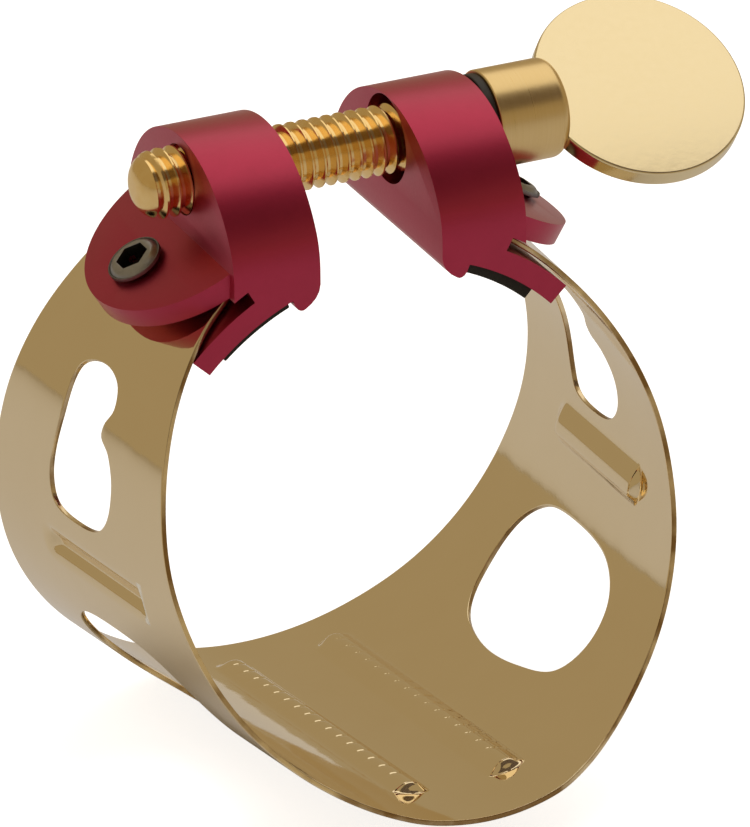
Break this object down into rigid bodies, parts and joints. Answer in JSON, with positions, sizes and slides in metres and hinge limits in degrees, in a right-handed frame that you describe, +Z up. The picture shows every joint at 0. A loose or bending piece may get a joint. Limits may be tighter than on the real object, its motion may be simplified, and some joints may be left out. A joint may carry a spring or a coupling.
{
  "type": "saxophone ligature",
  "caption": "Single-screw ligature: a pierced tapered spring band whose ends are held in clamp blocks drawn together by a thumb screw, to hold a reed on a mouthpiece.",
  "frame": {"origin": "on the bore axis of the band, in the plane through the thumb screw", "axes": "+Y along the bore towards its wide back end, +Z up to the clamp blocks, +X along the thumb screw towards its coin"},
  "size_m": [0.0381, 0.0297, 0.0356],
  "materials": {
    "gilt_band": "polished gold plate on brass sheet",
    "gilt_screw": "polished gold plate on turned brass",
    "anodised_block": "satin burgundy anodised",
    "dark_steel": "dark oxidised steel",
    "black_rubber": "matte black",
    "black_nylon": "satin black"
  },
  "bodies": {
    "band_body": {"spring_band": "gilt_band", "threaded_block": "anodised_block", "left_pad": "black_rubber", "left_clamp_screw": "dark_steel"},
    "swing_side": {"sliding_block": "anodised_block", "right_pad": "black_rubber", "right_clamp_screw": "dark_steel"},
    "thrust_slide": {"thrust_washer": "black_nylon"},
    "thumb_screw": {"screw_spindle": "gilt_screw", "screw_hub": "gilt_screw", "screw_coin": "gilt_screw"}
  },
  "joints": [
    {"name": "thumb_screw_turn", "type": "hinge", "parent": "thrust_slide", "child": "thumb_screw", "pos_m": [0, 0, 0.0164], "axis": [-1, 0, 0], "range_deg": [-362, 723]},
    {"name": "thumb_screw_advance", "type": "slide", "parent": "band_body", "child": "thrust_slide", "axis": [-1, 0, 0], "range_m": [-0.00065, 0.0013]},
    {"name": "band_flex", "type": "hinge", "parent": "band_body", "child": "swing_side", "pos_m": [0.006, 0, -0.0131], "axis": [0, -1, 0], "range_deg": [-1.35, 2.65], "deforming": ["spring_band"]}
  ],
  "couplings": [
    {"joint": "thumb_screw_turn", "follows": "thumb_screw_advance", "rad_per_m": 9666.4},
    {"joint": "band_flex", "follows": "thumb_screw_advance", "rad_per_m": 34.483}
  ]
}
